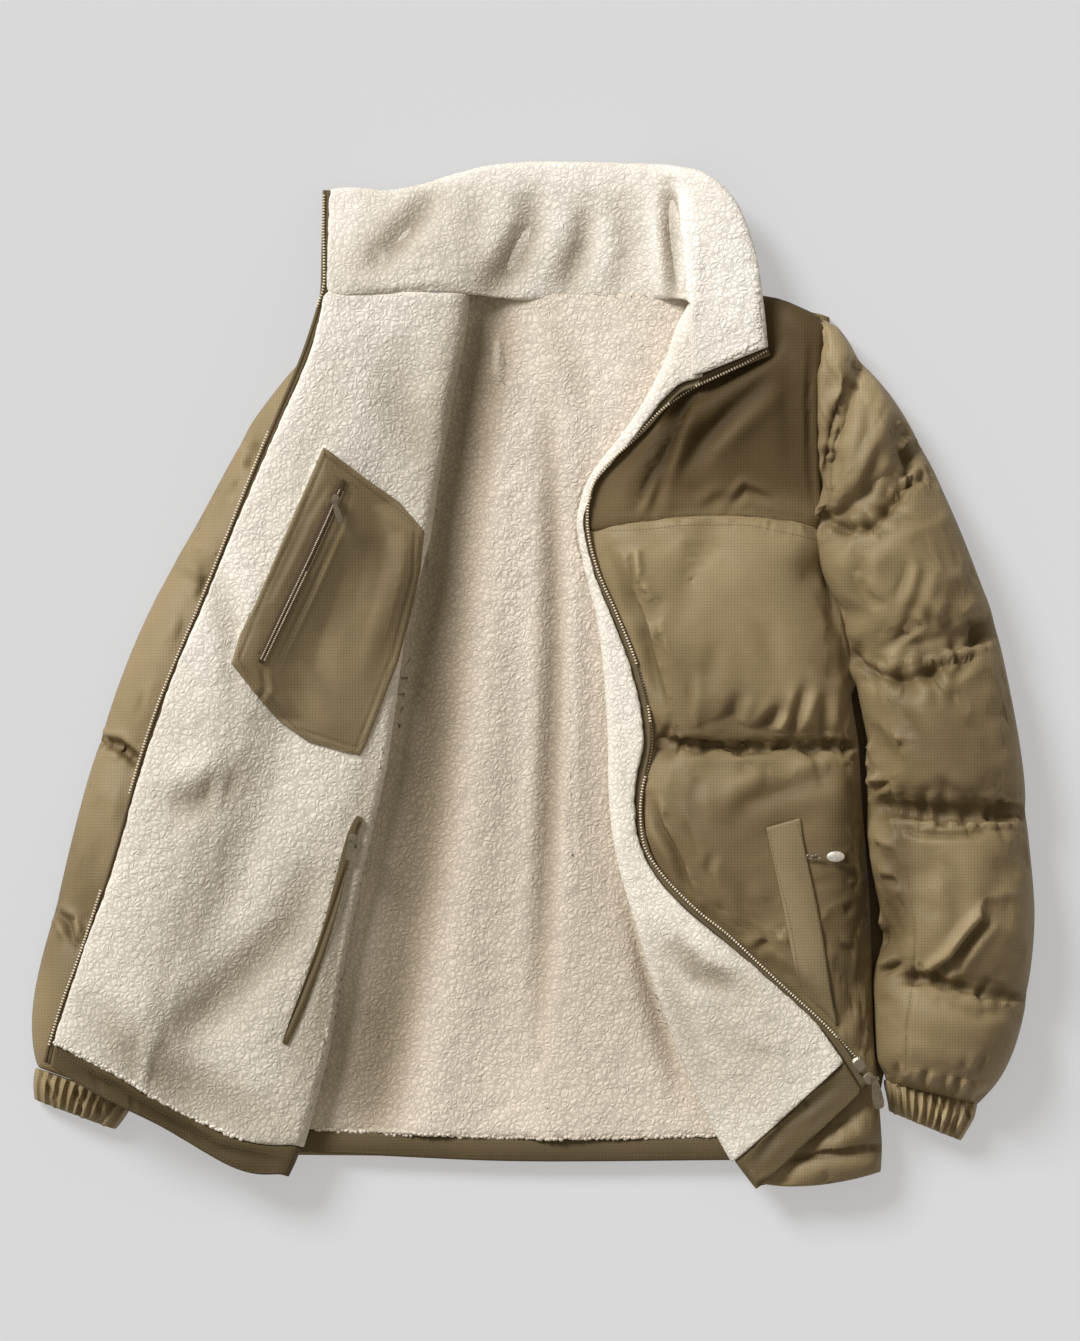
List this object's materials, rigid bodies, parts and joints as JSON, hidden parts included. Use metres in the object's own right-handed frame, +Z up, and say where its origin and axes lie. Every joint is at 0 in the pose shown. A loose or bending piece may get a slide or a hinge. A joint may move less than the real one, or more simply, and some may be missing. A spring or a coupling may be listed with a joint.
{
  "type": "quilted jacket laid flat",
  "caption": "Padded jacket with a stand collar and curly fleece lining, lying open on its back with one front folded back and the other's zip edge rolled back.",
  "frame": {"origin": "on the surface that the jacket lies on, under the middle of its plan", "axes": "+Y from hem to collar, +X to the wearer's left, +Z up from the surface"},
  "size_m": [0.8264, 0.8446, 0.0788],
  "materials": {
    "shell": "matt woven ripstop with a faint sheen",
    "facing": "matt woven ripstop",
    "fleece": "curly sherpa pile",
    "zip_tape": "woven zip tape with metal teeth",
    "dark_metal": "satin",
    "pale_pull": "satin"
  },
  "bodies": {
    "jacket": {"back_shell": "shell", "back_lining": "fleece", "back_hem_facing": "facing", "right_front_shell": "shell", "right_front_lining": "fleece", "right_front_hem_facing": "facing", "left_front_yoke": "shell", "left_front_shell": "shell", "left_front_lining": "fleece", "left_front_hem_facing": "facing", "left_sleeve": "shell", "right_sleeve": "shell", "left_cuff": "shell", "right_cuff": "shell", "collar_shell": "shell", "collar_lining": "fleece", "left_zip_tape": "zip_tape", "right_zip_tape": "zip_tape", "chest_pocket": "shell", "chest_pocket_zip": "zip_tape", "lining_pocket_binding": "facing", "hand_pocket_welt": "shell", "zip_slider": "dark_metal", "zip_pin_box": "dark_metal", "chest_pocket_slider": "dark_metal", "lining_pocket_slider": "dark_metal"},
    "zip_pull": {"zip_pull": "dark_metal"},
    "hand_pocket_pull": {"hand_pocket_pull": "pale_pull"},
    "chest_pocket_pull": {"chest_pocket_pull": "dark_metal"},
    "lining_pocket_pull": {"lining_pocket_pull": "dark_metal"}
  },
  "joints": [
    {"name": "main_pull_swing", "type": "hinge", "parent": "jacket", "child": "zip_pull", "pos_m": [0.27976, -0.33072, 0.05088], "axis": [-0.9848, -0.1736, 0], "range_deg": [0, 75]},
    {"name": "hand_pull_swing", "type": "hinge", "parent": "jacket", "child": "hand_pocket_pull", "pos_m": [0.22656, -0.14772, 0.05218], "axis": [-0.0523, -0.9986, 0], "range_deg": [0, 75]},
    {"name": "chest_pull_swing", "type": "hinge", "parent": "jacket", "child": "chest_pocket_pull", "pos_m": [-0.16176, 0.14088, 0.07786], "axis": [-0.9511, -0.309, 0], "range_deg": [0, 75]},
    {"name": "lining_pull_swing", "type": "hinge", "parent": "jacket", "child": "lining_pocket_pull", "pos_m": [-0.14791, -0.13625, 0.05069], "axis": [-0.9848, 0.1736, 0], "range_deg": [0, 75]}
  ]
}
